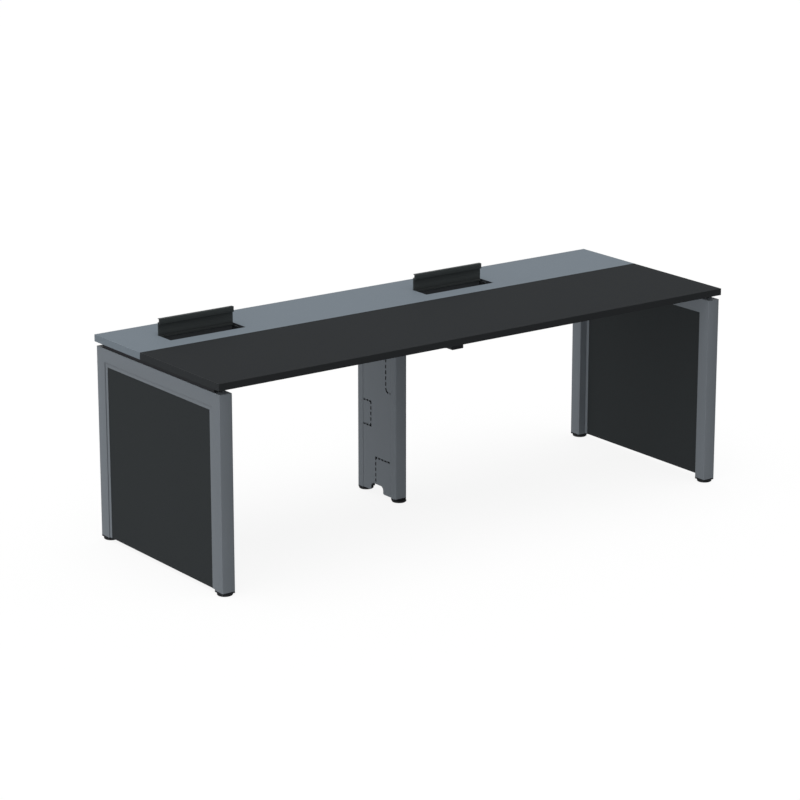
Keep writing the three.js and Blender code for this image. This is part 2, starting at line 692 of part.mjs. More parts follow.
// The cross arm with its caps and packing strip, and the four beams that tie it to the end frames.
function underframe() {
  const group = new THREE.Group();
  const armMiddle = (armFront + armRear) / 2;
  const strip = spacerGeometry(armRear - armFront - 2 * SPACER_INSET);
  const rearCap = piece("arm_rear_cap", armCapGeometry(), "blackPlastic", 0, armRear, railMiddle);
  rearCap.rotation.z = Math.PI;
  group.add(piece("cross_arm", armGeometry(), "blackPaint", 0, armMiddle, railMiddle));
  group.add(piece("arm_front_cap", armCapGeometry(), "blackPlastic", 0, armFront, railMiddle), rearCap);
  group.add(piece("arm_spacer", strip, "blackPlastic", 0, armMiddle, spacerMiddle));
  for (const [side, sign] of [["left", -1], ["right", 1]]) {
    const x = sign * frameX / 2;
    const frontY = FRONT_BEAM_SETBACK - DEPTH / 2;
    const rearY = DEPTH / 2 - REAR_BEAM_SETBACK;
    group.add(piece(`${side}_front_beam`, beamGeometry(), "blackPaint", x, frontY, railMiddle));
    group.add(piece(`${side}_rear_beam`, beamGeometry(), "blackPaint", x, rearY, railMiddle));
  }
  return group;
}

// One place's cable management: the tray under the boards and the lidded port above it.
function cableService(side, sign) {
  const group = new THREE.Group();
  const x = portCentres[side];
  const trayX = sign * (RISER_WIDTH / 2 + TRAY_END_GAP + trayLength / 2);
  const rod = hingeRound(ROD_DIAMETER / 2, linerWidth);
  group.add(piece(`${side}_cable_tray`, trayGeometry(), "blackPaint", trayX, serviceY, underside - SEAT));
  group.add(piece(`${side}_port_liner`, linerGeometry(), "blackPlastic", x, serviceY, HEIGHT));
  group.add(piece(`${side}_hinge_rod`, rod, "brightSteel", x, serviceY, HEIGHT));
  group.add(piece(`${side}_lid`, lidGeometry(), "blackPaint", x, serviceY, HEIGHT));
  return group;
}

// The two boards, meeting along the seam.
function boards() {
  const group = new THREE.Group();
  const depth = DEPTH - SERVICE_DEPTH - SEAT;
  const middle = HEIGHT - TOP_THICKNESS / 2;
  const front = block(LENGTH, depth, TOP_THICKNESS);
  group.add(piece("front_worktop", front, "blackBoard", 0, seamY - SEAT - depth / 2, middle));
  group.add(piece("rear_service_top", serviceTopGeometry(), "greyBoard", 0, 0, middle));
  return group;
}

const desk = new THREE.Group();
desk.add(endFrame("left", -1), endFrame("right", 1));
desk.add(riser(), underframe());
desk.add(cableService("left", -1), cableService("right", 1));
desk.add(boards());

export default desk;
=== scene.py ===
# Benching desk for two: the looks of the desk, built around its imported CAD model. Metres, +Z up.
import math

import bmesh
import bpy
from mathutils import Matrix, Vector


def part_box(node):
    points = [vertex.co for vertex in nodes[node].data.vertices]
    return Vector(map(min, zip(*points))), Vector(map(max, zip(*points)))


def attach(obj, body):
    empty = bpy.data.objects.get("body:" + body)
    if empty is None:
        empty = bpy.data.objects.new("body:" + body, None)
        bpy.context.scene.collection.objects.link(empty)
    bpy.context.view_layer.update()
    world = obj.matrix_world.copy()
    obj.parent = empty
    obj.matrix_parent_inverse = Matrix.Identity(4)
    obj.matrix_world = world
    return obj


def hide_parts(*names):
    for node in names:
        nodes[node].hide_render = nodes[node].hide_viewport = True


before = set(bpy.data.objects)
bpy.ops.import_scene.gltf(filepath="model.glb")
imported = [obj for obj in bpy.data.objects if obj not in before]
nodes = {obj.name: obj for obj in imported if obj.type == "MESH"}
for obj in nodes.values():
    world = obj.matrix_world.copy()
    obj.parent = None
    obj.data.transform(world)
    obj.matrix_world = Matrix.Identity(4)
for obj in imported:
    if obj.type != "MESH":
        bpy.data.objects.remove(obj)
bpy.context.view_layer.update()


# The photographer's standpoint: a long lens, raised in front of the desk's left-hand end and so far
# back that its parallel edges stay almost parallel.
FOCAL_PIXELS = 3039.657
IMAGE_PIXELS = 800
SENSOR_WIDTH = 36.0
FARTHEST_SEEN = 200.0
STANDPOINT = (-6.332878, -8.539896, 3.468632)
LENS_DOWN = 0.279702
LENS_TO_RIGHT = 0.632346
lens = bpy.data.cameras.new("desk_camera")
lens.sensor_width = SENSOR_WIDTH
lens.lens = FOCAL_PIXELS / IMAGE_PIXELS * SENSOR_WIDTH
lens.clip_end = FARTHEST_SEEN
camera = bpy.data.objects.new("desk_camera", lens)
camera.location = STANDPOINT
camera.rotation_euler = (math.pi / 2 - LENS_DOWN, 0.0, -LENS_TO_RIGHT)
bpy.context.scene.collection.objects.link(camera)
bpy.context.scene.camera = camera


# The end frames are square steel tube, sawn at 45 degrees, welded and ground flush at the top
# corners, then powder coated mid grey. The baked coat keeps a fine orange-peel skin.
FRAME_GREY = (0.177, 0.197, 0.218, 1.0)
MITRE_GAP = 0.0004
MERGE_GAP = 0.00001
SHARP_ANGLE = math.radians(35)
FLECK = 0.08
GLOSS_DRIFT = 0.04


def add_node(tree, kind, inputs=None, **settings):
    node = tree.nodes.new(kind)
    for name, value in settings.items():
        setattr(node, name, value)
    for name, value in (inputs or {}).items():
        if isinstance(value, bpy.types.NodeSocket):
            tree.links.new(value, node.inputs[name])
        else:
            node.inputs[name].default_value = value
    return node


def add_math(tree, operation, *values):
    return add_node(tree, "ShaderNodeMath", dict(enumerate(values)), operation=operation).outputs[0]


def new_group(name, kind, inputs, outputs):
    group = bpy.data.node_groups.new(name, kind)
    for label, socket_type, value in inputs:
        socket = group.interface.new_socket(label, in_out="INPUT", socket_type=socket_type)
        if value is not None:
            socket.default_value = value
    for label, socket_type in outputs:
        group.interface.new_socket(label, in_out="OUTPUT", socket_type=socket_type)
    return group, group.nodes.new("NodeGroupInput").outputs, group.nodes.new("NodeGroupOutput").inputs


# The skin of a baked or moulded finish: even small grains and a slow drift of tone and gloss.
FINISH_OUTPUTS = [
    ("Colour", "NodeSocketColor"),
    ("Roughness", "NodeSocketFloat"),
    ("Height", "NodeSocketFloat"),
]
skin, given, result = new_group(
    "finish_skin",
    "ShaderNodeTree",
    [
        ("Colour", "NodeSocketColor", (0.2, 0.2, 0.2, 1.0)),
        ("Roughness", "NodeSocketFloat", 0.5),
        ("Grains per Metre", "NodeSocketFloat", 800.0),
        ("Drift", "NodeSocketFloat", 0.03),
    ],
    FINISH_OUTPUTS,
)
place = add_node(skin, "ShaderNodeTexCoord").outputs["Object"]
grain = add_node(
    skin,
    "ShaderNodeTexNoise",
    {"Vector": place, "Scale": given["Grains per Metre"], "Detail": 1.0},
)
cloud = add_node(skin, "ShaderNodeTexNoise", {"Vector": place, "Scale": 5.0, "Detail": 4.0})
swing = add_node(
    skin,
    "ShaderNodeMapRange",
    {"Value": cloud.outputs[0], "From Min": 0.3, "From Max": 0.7, "To Min": -1.0},
)
drift = add_math(skin, "MULTIPLY_ADD", swing.outputs[0], given["Drift"], 1.0)
fleck = add_math(skin, "MULTIPLY_ADD", grain.outputs[0], FLECK, -FLECK / 2)
value = add_math(skin, "ADD", drift, fleck)
tone = add_node(skin, "ShaderNodeHueSaturation", {"Color": given["Colour"], "Value": value})
gloss = add_math(skin, "MULTIPLY_ADD", swing.outputs[0], GLOSS_DRIFT, given["Roughness"])
skin.links.new(tone.outputs[0], result["Colour"])
skin.links.new(gloss, result["Roughness"])
skin.links.new(grain.outputs[0], result["Height"])


def group_finish(name, group, inputs, depth, reflection, metallic=0.0):
    material = bpy.data.materials.new(name)
    material.use_nodes = True
    tree = material.node_tree
    shader = tree.nodes["Principled BSDF"]
    shader.inputs["Specular IOR Level"].default_value = reflection
    shader.inputs["Metallic"].default_value = metallic
    face = add_node(tree, "ShaderNodeGroup", inputs, node_tree=group)
    relief = add_node(tree, "ShaderNodeBump", {"Height": face.outputs["Height"], "Distance": depth})
    tree.links.new(face.outputs["Colour"], shader.inputs["Base Color"])
    tree.links.new(face.outputs["Roughness"], shader.inputs["Roughness"])
    tree.links.new(relief.outputs["Normal"], shader.inputs["Normal"])
    return material


def skinned_finish(name, colour, roughness, grains, depth, drift, reflection):
    inputs = {"Colour": colour, "Roughness": roughness, "Grains per Metre": grains, "Drift": drift}
    return group_finish(name, skin, inputs, depth, reflection)


def shaded_mesh(name, shell):
    for face in shell.faces:
        face.smooth = True
    for edge in shell.edges:
        edge.smooth = len(edge.link_faces) == 2 and edge.calc_face_angle() < SHARP_ANGLE
    mesh = bpy.data.meshes.new(name)
    shell.to_mesh(mesh)
    shell.free()
    return mesh


def new_piece(name, mesh):
    piece = bpy.data.objects.new(name, mesh)
    bpy.context.scene.collection.objects.link(piece)
    return piece


def add_piece(name, shell, material, body, slot, *replaced):
    piece = new_piece(name, shaded_mesh(name, shell))
    piece.data.materials.append(material)
    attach(piece, body)
    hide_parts(*replaced)
    return piece


def merged_copy(*node_names):
    shell = bmesh.new()
    for node_name in node_names:
        corners = [shell.verts.new(vertex.co) for vertex in nodes[node_name].data.vertices]
        for polygon in nodes[node_name].data.polygons:
            shell.faces.new([corners[index] for index in polygon.vertices])
    bmesh.ops.remove_doubles(shell, verts=shell.verts, dist=MERGE_GAP)
    return shell


def welded_shell(*node_names):
    shell = merged_copy(*node_names)
    corner = max(vertex.co.z for vertex in shell.verts)
    reach = max(vertex.co.y for vertex in shell.verts)

    def on_mitre(face):
        one_end = len({vertex.co.y > 0 for vertex in face.verts}) == 1
        return one_end and all(
            abs(corner - vertex.co.z - (reach - abs(vertex.co.y))) < MITRE_GAP for vertex in face.verts
        )

    ends = [face for face in shell.faces if on_mitre(face)]
    bmesh.ops.delete(shell, geom=ends, context="FACES_ONLY")
    bmesh.ops.remove_doubles(shell, verts=shell.verts, dist=MITRE_GAP)
    return shell


frame_coat = skinned_finish(
    "frame_powder_coat",
    FRAME_GREY,
    roughness=0.55,
    grains=900.0,
    depth=0.00003,
    drift=0.025,
    reflection=0.12,
)
for side in ("left", "right"):
    tubes = [f"{side}_{tube}" for tube in ("top_rail", "front_leg", "rear_leg")]
    add_piece(f"{side}_welded_frame", welded_shell(*tubes), frame_coat, "desk", "grey_paint", *tubes)


# The end panels are 16 mm chipboard faced with matt black melamine, slid into mitred aluminium
# trim on three edges; the trim is powder coated in the frame's grey and stands off on washers.
PANEL_BLACK = (0.034, 0.038, 0.040, 1.0)
PAPER_TONE = 0.97
PAPER_CLOUD = 0.06
PEARL_GLOSS = 0.1
PEARL_DEPTH = 0.000025

# The pressed face of melamine: a close pearl texture with pale and dark specks in the paper.
melamine, given, result = new_group(
    "melamine_face",
    "ShaderNodeTree",
    [
        ("Colour", "NodeSocketColor", (0.04, 0.04, 0.04, 1.0)),
        ("Roughness", "NodeSocketFloat", 0.6),
        ("Pearls per Metre", "NodeSocketFloat", 1400.0),
        ("Speck", "NodeSocketFloat", 0.1),
    ],
    FINISH_OUTPUTS,
)
place = add_node(melamine, "ShaderNodeTexCoord").outputs["Object"]
pearl = add_node(
    melamine,
    "ShaderNodeTexNoise",
    {"Vector": place, "Scale": given["Pearls per Metre"], "Detail": 2.0},
)
speck = add_node(
    melamine,
    "ShaderNodeTexNoise",
    {"Vector": place, "Scale": 420.0, "Detail": 6.0, "Roughness": 0.7},
)
cloud = add_node(melamine, "ShaderNodeTexNoise", {"Vector": place, "Scale": 2.5, "Detail": 3.0})
spread = add_node(
    melamine,
    "ShaderNodeMapRange",
    {"Value": speck.outputs[0], "From Min": 0.3, "From Max": 0.7, "To Min": -1.0},
)
fleck = add_math(melamine, "MULTIPLY_ADD", spread.outputs[0], given["Speck"], PAPER_TONE)
value = add_math(melamine, "MULTIPLY_ADD", cloud.outputs[0], PAPER_CLOUD, fleck)
tone = add_node(melamine, "ShaderNodeHueSaturation", {"Color": given["Colour"], "Value": value})
gloss = add_math(melamine, "MULTIPLY_ADD", pearl.outputs[0], PEARL_GLOSS, given["Roughness"])
melamine.links.new(tone.outputs[0], result["Colour"])
melamine.links.new(gloss, result["Roughness"])
melamine.links.new(pearl.outputs[0], result["Height"])


def melamine_finish(name, colour, roughness, specks, reflection):
    inputs = {"Colour": colour, "Roughness": roughness, "Speck": specks}
    return group_finish(name, melamine, inputs, PEARL_DEPTH, reflection)


def dress(material, *node_names):
    for node_name in node_names:
        nodes[node_name].data.materials.clear()
        nodes[node_name].data.materials.append(material)


panel_face = melamine_finish("panel_melamine", PANEL_BLACK, roughness=0.65, specks=0.08, reflection=0.03)
trim_coat = skinned_finish(
    "trim_powder_coat",
    FRAME_GREY,
    roughness=0.5,
    grains=1100.0,
    depth=0.00002,
    drift=0.015,
    reflection=0.12,
)
for side in ("left", "right"):
    dress(panel_face, f"{side}_end_panel")
    dress(trim_coat, f"{side}_front_trim", f"{side}_rear_trim", f"{side}_top_trim")


# Small mouldings in black plastic: the washers behind the trim, the packing strips under the boards,
# the cross arm's caps and the ribbed plugs that close the tubes. The tools leave a dull eroded grain.
MOULDING_BLACK = (0.008, 0.009, 0.011, 1.0)
moulding = skinned_finish(
    "black_moulding",
    MOULDING_BLACK,
    roughness=0.6,
    grains=1800.0,
    depth=0.00004,
    drift=0.1,
    reflection=0.12,
)
for side in ("left", "right"):
    dress(moulding, f"{side}_rail_spacer")
    for end in ("front", "rear"):
        dress(moulding, f"{side}_{end}_plug", f"{side}_{end}_lower_washer", f"{side}_{end}_upper_washer")
dress(moulding, "riser_front_plug", "riser_rear_plug", "arm_spacer", "arm_front_cap", "arm_rear_cap")


# The levelling feet: a moulded black pad with grip ribs round its rim, on a steel stud whose thread
# runs in the plug above. Each one turns out by hand to take up an uneven floor.
RIM_RADIUS = 0.0268
RIM_MIDDLE = 0.0034
RIB_RADIUS = 0.0007
RIB_HEIGHT = 0.0036
RIB_COUNT = 60
RIB_SIDES = 8
STUD_RADIUS = 0.0050
STUD_START = 0.0078
STUD_END = 0.0554
STUD_CHAMFER = 0.0012
THREAD_DEPTH = 0.0007
THREAD_PITCH = 0.0015
TURN_STEPS = 48
FOOT_BLACK = (0.006, 0.007, 0.008, 1.0)
foot_plastic = skinned_finish(
    "foot_moulding",
    FOOT_BLACK,
    roughness=0.55,
    grains=1500.0,
    depth=0.00004,
    drift=0.1,
    reflection=0.2,
)

ribs, given, result = new_group(
    "grip_ribs",
    "GeometryNodeTree",
    [
        ("Pad", "NodeSocketGeometry", None),
        ("Centre", "NodeSocketVector", (0.0, 0.0, 0.0)),
        ("Rim Radius", "NodeSocketFloat", RIM_RADIUS),
        ("Rib Radius", "NodeSocketFloat", RIB_RADIUS),
        ("Rib Height", "NodeSocketFloat", RIB_HEIGHT),
        ("Rib Count", "NodeSocketInt", RIB_COUNT),
        ("Finish", "NodeSocketMaterial", None),
    ],
    [("Foot", "NodeSocketGeometry")],
)
rim = add_node(
    ribs,
    "GeometryNodeMeshCircle",
    {"Vertices": given["Rib Count"], "Radius": given["Rim Radius"]},
)
seat = add_node(
    ribs,
    "GeometryNodeTransform",
    {"Geometry": rim.outputs[0], "Translation": given["Centre"]},
)
rib = add_node(
    ribs,
    "GeometryNodeMeshCylinder",
    {"Vertices": RIB_SIDES, "Radius": given["Rib Radius"], "Depth": given["Rib Height"]},
)
row = add_node(
    ribs,
    "GeometryNodeInstanceOnPoints",
    {"Points": seat.outputs[0], "Instance": rib.outputs["Mesh"]},
)
whole = add_node(ribs, "GeometryNodeJoinGeometry")
ribs.links.new(row.outputs[0], whole.inputs[0])
ribs.links.new(given["Pad"], whole.inputs[0])
made = add_node(ribs, "GeometryNodeRealizeInstances", {"Geometry": whole.outputs[0]})
finish = add_node(
    ribs,
    "GeometryNodeSetMaterial",
    {"Geometry": made.outputs[0], "Material": given["Finish"]},
)
ribs.links.new(finish.outputs[0], result["Foot"])


def set_input(modifier, label, value):
    for item in modifier.node_group.interface.items_tree:
        if item.item_type == "SOCKET" and item.in_out == "INPUT" and item.name == label:
            modifier[item.identifier] = value


def bake_nodes(piece):
    view = bpy.context.evaluated_depsgraph_get()
    mesh = bpy.data.meshes.new_from_object(piece.evaluated_get(view))
    piece.modifiers.clear()
    piece.data = mesh


# Half of the foot's section, as radius and height from the middle of its underside to the stud's tip.
def foot_profile():
    thread_root = STUD_RADIUS - THREAD_DEPTH
    points = [(0.0, 0.0010), (0.0195, 0.0010), (0.0205, 0.0), (0.0255, 0.0)]
    points += [(RIM_RADIUS, 0.0013), (RIM_RADIUS, 0.0054), (0.0262, 0.0066), (0.0250, 0.0072)]
    points += [(0.0090, 0.0074), (thread_root, 0.0074)]
    height = STUD_START
    while height < STUD_END - 2 * THREAD_PITCH:
        points += [(thread_root, height), (STUD_RADIUS, height + THREAD_PITCH / 2)]
        height += THREAD_PITCH
    return points + [(STUD_RADIUS - STUD_CHAMFER, STUD_END), (0.0, STUD_END)]


def turned_shell(profile, centre):
    shell = bmesh.new()
    points = [shell.verts.new((centre.x + radius, centre.y, height)) for radius, height in profile]
    line = [shell.edges.new(pair) for pair in zip(points, points[1:])]
    bmesh.ops.spin(
        shell,
        geom=points + line,
        cent=(centre.x, centre.y, 0.0),
        axis=(0.0, 0.0, 1.0),
        angle=math.tau,
        steps=TURN_STEPS,
        use_merge=True,
    )
    bmesh.ops.remove_doubles(shell, verts=shell.verts, dist=MERGE_GAP / 2)
    bmesh.ops.recalc_face_normals(shell, faces=shell.faces)
    return shell


for foot in ("left_front", "left_rear", "right_front", "right_rear", "riser_front", "riser_rear"):
    name = f"{foot}_ribbed_foot"
    low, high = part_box(f"{foot}_foot")
    centre = (low + high) / 2
    piece = new_piece(name, shaded_mesh(name, turned_shell(foot_profile(), centre)))
    grip = piece.modifiers.new("grip_ribs", "NODES")
    grip.node_group = ribs
    set_input(grip, "Centre", (centre.x, centre.y, RIM_MIDDLE))
    set_input(grip, "Finish", foot_plastic)
    bake_nodes(piece)
    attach(piece, f"{foot}_foot")
    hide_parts(f"{foot}_foot")


# The middle riser that carries cables up from the floor: two folded steel uprights with round
# corners and two clip-on covers in the frame's grey. The cut edges of the covers' knock-outs and
# notch, and the covers' inside, carry painted shade in a darker grey.
SLOT_SHADE_GREY = (0.092, 0.099, 0.106, 1.0)
SHADE_INSET = 0.0003
BEND_WIDTH = 0.004


def riser_finish(name):
    return skinned_finish(
        name,
        FRAME_GREY,
        roughness=0.55,
        grains=900.0,
        depth=0.00003,
        drift=0.02,
        reflection=0.12,
    )


riser_coat = riser_finish("riser_powder_coat")
cover_coat_and_shade = riser_finish("cover_powder_coat_and_painted_shade")
tree = cover_coat_and_shade.node_tree
shader = tree.nodes["Principled BSDF"]
coated = shader.inputs["Base Color"].links[0].from_socket
low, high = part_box("riser_left_cover")
# Painted shade: the covers' cut edges and inside get a darker grey, standing in for the shade in the
# slots.
place = add_node(tree, "ShaderNodeTexCoord").outputs["Object"]
axes = add_node(tree, "ShaderNodeSeparateXYZ", {0: place})
outward = add_math(tree, "ABSOLUTE", axes.outputs[0])
beneath_face = add_math(tree, "LESS_THAN", outward, -low.x - SHADE_INSET)
flat_width = high.y - low.y - 2 * BEND_WIDTH
on_flat = add_math(tree, "COMPARE", axes.outputs[1], (low.y + high.y) / 2, flat_width / 2)
slot_shade = add_math(tree, "MULTIPLY", beneath_face, on_flat)
slot_shaded = add_node(tree, "ShaderNodeMix", {0: slot_shade, 6: coated, 7: SLOT_SHADE_GREY}, data_type="RGBA")
tree.links.new(slot_shaded.outputs[2], shader.inputs["Base Color"])
dress(cover_coat_and_shade, "riser_left_cover", "riser_right_cover")
hollow_pieces = [nodes["riser_left_cover"], nodes["riser_right_cover"]]
for end in ("front", "rear"):
    upright = f"riser_{end}_upright"
    shell = merged_copy(upright)
    channel = add_piece(f"{upright}_channel", shell, riser_coat, "desk", "grey_paint", upright)
    hollow_pieces.append(channel)


# The hidden underframe in satin black powder coat: the cross arm on the riser, four long beams
# with welded end plates, the riser's top plate and two folded cable trays.
UNDERFRAME_BLACK = (0.020, 0.022, 0.025, 1.0)
black_coat = skinned_finish(
    "underframe_powder_coat",
    UNDERFRAME_BLACK,
    roughness=0.5,
    grains=900.0,
    depth=0.00003,
    drift=0.04,
    reflection=0.15,
)
dress(black_coat, "riser_top_plate", "cross_arm", "left_cable_tray", "right_cable_tray")
for side in ("left", "right"):
    dress(black_coat, f"{side}_front_beam", f"{side}_rear_beam")


# The two boards: 25 mm chipboard, black in front and grey over the cable run, with a 2 mm edge
# band in the same colour whose corners are rounded. They meet in a plain butt joint.
WORKTOP_BLACK = (0.0269, 0.0291, 0.0310, 1.0)
SERVICE_GREY = (0.168, 0.198, 0.226, 1.0)
EDGE_ROUND = 0.0012
CORNER_ANGLE = math.radians(60)
BAND_WIDTH = 0.002
BAND_GLOSS = 0.15
GLUE_LINE = 0.00025
GLUE_SHADE = 0.35
SERVICE_HOLES = {(1, 1), (3, 1)}

# The edge band as masks on the board: the band itself, its glue line and the board's two ends.
band, given, result = new_group(
    "edge_band",
    "ShaderNodeTree",
    [
        ("Low Corner", "NodeSocketVector", (0.0, 0.0, 0.0)),
        ("High Corner", "NodeSocketVector", (1.0, 1.0, 1.0)),
        ("Band Width", "NodeSocketFloat", BAND_WIDTH),
        ("Glue Line", "NodeSocketFloat", GLUE_LINE),
    ],
    [("Band", "NodeSocketFloat"), ("Joint", "NodeSocketFloat"), ("End", "NodeSocketFloat")],
)
place = add_node(band, "ShaderNodeTexCoord").outputs["Object"]
from_low = add_node(
    band,
    "ShaderNodeVectorMath",
    {0: place, 1: given["Low Corner"]},
    operation="SUBTRACT",
)
from_high = add_node(
    band,
    "ShaderNodeVectorMath",
    {0: given["High Corner"], 1: place},
    operation="SUBTRACT",
)
nearer = add_node(
    band,
    "ShaderNodeVectorMath",
    {0: from_low.outputs[0], 1: from_high.outputs[0]},
    operation="MINIMUM",
)
axes = add_node(band, "ShaderNodeSeparateXYZ", {0: nearer.outputs[0]})
nearest = add_math(band, "MINIMUM", axes.outputs[0], axes.outputs[1])
inside = add_math(band, "LESS_THAN", nearest, given["Band Width"])
joint = add_math(band, "COMPARE", nearest, given["Band Width"], given["Glue Line"])
at_end = add_math(band, "LESS_THAN", axes.outputs[0], given["Band Width"])
band.links.new(inside, result["Band"])
band.links.new(joint, result["Joint"])
band.links.new(at_end, result["End"])


def board_finish(name, node_name, colour, roughness, specks, reflection, painted_end_light):
    material = melamine_finish(name, colour, roughness, specks, reflection)
    tree = material.node_tree
    shader = tree.nodes["Principled BSDF"]
    face = shader.inputs["Base Color"].links[0].from_node
    low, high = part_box(node_name)
    edge = add_node(tree, "ShaderNodeGroup", {"Low Corner": low, "High Corner": high}, node_tree=band)
    glue = add_math(tree, "MULTIPLY_ADD", edge.outputs["Joint"], -GLUE_SHADE, 1.0)
    # Painted light: both ends of the board, faces and band, are made paler than the rest.
    lighter_ends = add_math(tree, "MULTIPLY_ADD", edge.outputs["End"], painted_end_light, 1.0)
    value = add_math(tree, "MULTIPLY", glue, lighter_ends)
    lined = add_node(tree, "ShaderNodeHueSaturation", {"Color": face.outputs["Colour"], "Value": value})
    gloss = add_math(tree, "MULTIPLY_ADD", edge.outputs["Band"], -BAND_GLOSS, face.outputs["Roughness"])
    tree.links.new(lined.outputs[0], shader.inputs["Base Color"])
    tree.links.new(gloss, shader.inputs["Roughness"])
    return material


def board_shell(node_name, holes):
    corners = [vertex.co for vertex in nodes[node_name].data.vertices]
    across, along, levels = (sorted({round(corner[axis], 5) for corner in corners}) for axis in range(3))
    cells = {
        (column, rank)
        for column in range(len(across) - 1)
        for rank in range(len(along) - 1)
        if (column, rank) not in holes
    }
    shell = bmesh.new()
    grid = {
        (column, rank, level): shell.verts.new((across[column], along[rank], levels[level]))
        for column in range(len(across))
        for rank in range(len(along))
        for level in range(2)
    }
    walls = {
        (0, -1): ((0, 0), (1, 0)),
        (1, 0): ((1, 0), (1, 1)),
        (0, 1): ((1, 1), (0, 1)),
        (-1, 0): ((0, 1), (0, 0)),
    }
    for column, rank in cells:
        square = [(column, rank), (column + 1, rank), (column + 1, rank + 1), (column, rank + 1)]
        shell.faces.new([grid[(*corner, 1)] for corner in square])
        shell.faces.new([grid[(*corner, 0)] for corner in reversed(square)])
        for (step_x, step_y), (start, stop) in walls.items():
            if (column + step_x, rank + step_y) not in cells:
                first = (column + start[0], rank + start[1])
                second = (column + stop[0], rank + stop[1])
                wall = [(*first, 0), (*second, 0), (*second, 1), (*first, 1)]
                shell.faces.new([grid[corner] for corner in wall])
    ends = (across[0], across[-1])
    sides = (along[0], along[-1])

    def on_outline(edge):
        from_end = max(min(abs(vertex.co.x - end) for end in ends) for vertex in edge.verts)
        from_side = max(min(abs(vertex.co.y - side) for side in sides) for vertex in edge.verts)
        return min(from_end, from_side) < MERGE_GAP and edge.calc_face_angle() > CORNER_ANGLE

    outline = [edge for edge in shell.edges if on_outline(edge)]
    bmesh.ops.bevel(shell, geom=outline, offset=EDGE_ROUND, segments=3, profile=0.5, affect="EDGES")
    return shell


worktop_face = board_finish(
    "worktop_melamine",
    "front_worktop",
    WORKTOP_BLACK,
    roughness=0.7,
    specks=0.06,
    reflection=0.01,
    painted_end_light=0.30,
)
worktop_shell = board_shell("front_worktop", set())
add_piece("front_worktop_board", worktop_shell, worktop_face, "desk", "black_board", "front_worktop")
service_face = board_finish(
    "service_melamine",
    "rear_service_top",
    SERVICE_GREY,
    roughness=0.65,
    specks=0.05,
    reflection=0.03,
    painted_end_light=0.16,
)
service_shell = board_shell("rear_service_top", SERVICE_HOLES)
add_piece("rear_service_board", service_shell, service_face, "desk", "grey_board", "rear_service_top")


# The cable ports: a black moulded liner pushed into each cut-out from below, and the bright drawn
# rod on which the lid turns.
LINER_BLACK = (0.030, 0.033, 0.036, 1.0)
ROD_STEEL = (0.39, 0.42, 0.43, 1.0)
LINE_GLOSS = 0.06
liner_plastic = skinned_finish(
    "liner_moulding",
    LINER_BLACK,
    roughness=0.6,
    grains=1800.0,
    depth=0.00004,
    drift=0.08,
    reflection=0.1,
)
dress(liner_plastic, "left_port_liner", "right_port_liner")
liners = [nodes["left_port_liner"], nodes["right_port_liner"]]

# Fine lines left by drawing or extruding, drawn out along one axis.
lines, given, result = new_group(
    "drawn_lines",
    "ShaderNodeTree",
    [
        ("Colour", "NodeSocketColor", (0.4, 0.4, 0.4, 1.0)),
        ("Roughness", "NodeSocketFloat", 0.3),
        ("Lines", "NodeSocketVector", (4.0, 1500.0, 1500.0)),
        ("Contrast", "NodeSocketFloat", 0.1),
    ],
    FINISH_OUTPUTS,
)
place = add_node(lines, "ShaderNodeTexCoord").outputs["Object"]
stretched = add_node(lines, "ShaderNodeVectorMath", {0: place, 1: given["Lines"]}, operation="MULTIPLY")
streak = add_node(
    lines,
    "ShaderNodeTexNoise",
    {"Vector": stretched.outputs[0], "Scale": 1.0, "Detail": 3.0},
)
swing = add_node(
    lines,
    "ShaderNodeMapRange",
    {"Value": streak.outputs[0], "From Min": 0.3, "From Max": 0.7, "To Min": -1.0},
)
value = add_math(lines, "MULTIPLY_ADD", swing.outputs[0], given["Contrast"], 1.0)
tone = add_node(lines, "ShaderNodeHueSaturation", {"Color": given["Colour"], "Value": value})
gloss = add_math(lines, "MULTIPLY_ADD", swing.outputs[0], LINE_GLOSS, given["Roughness"])
lines.links.new(tone.outputs[0], result["Colour"])
lines.links.new(gloss, result["Roughness"])
lines.links.new(streak.outputs[0], result["Height"])


def drawn_finish(name, colour, roughness, line_scale, contrast, depth, metallic, reflection):
    inputs = {"Colour": colour, "Roughness": roughness, "Lines": line_scale, "Contrast": contrast}
    return group_finish(name, lines, inputs, depth, reflection, metallic)


rod_steel = drawn_finish(
    "drawn_rod",
    ROD_STEEL,
    roughness=0.3,
    line_scale=(4.0, 1800.0, 1800.0),
    contrast=0.12,
    depth=0.00001,
    metallic=1.0,
    reflection=0.5,
)
dress(rod_steel, "left_hinge_rod", "right_hinge_rod")


# The flip lids: one aluminium extrusion each, anodised black, sawn to length and bored for its rod.
# The arrises are broken by hand and a groove behind the thin tip takes a finger. The plate's foot on the
# port's side carries painted shade, darker towards the rod, and the heel just above the rod is left
# unshaded.
LID_BLACK = (0.038, 0.0435, 0.0446, 1.0)
LID_ARRIS = 0.0004
ONE_PLANE = math.radians(0.5)
NEARLY_ALONG = 0.99
FOOT_SHADE_TONE = 0.46
FOOT_SHADE_REACH = 0.020
UNSHADED_HEEL = 0.0025
lid_anodised_and_shade = drawn_finish(
    "lid_anodised_and_shade",
    LID_BLACK,
    roughness=0.5,
    line_scale=(3.0, 1600.0, 1600.0),
    contrast=0.1,
    depth=0.00001,
    metallic=0.0,
    reflection=0.06,
)
tree = lid_anodised_and_shade.node_tree
shader = tree.nodes["Principled BSDF"]
drawn_colour = shader.inputs["Base Color"].links[0].from_socket
low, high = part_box("left_hinge_rod")
rod = (low + high) / 2
place = add_node(tree, "ShaderNodeTexCoord").outputs["Object"]
axes = add_node(tree, "ShaderNodeSeparateXYZ", {0: place})
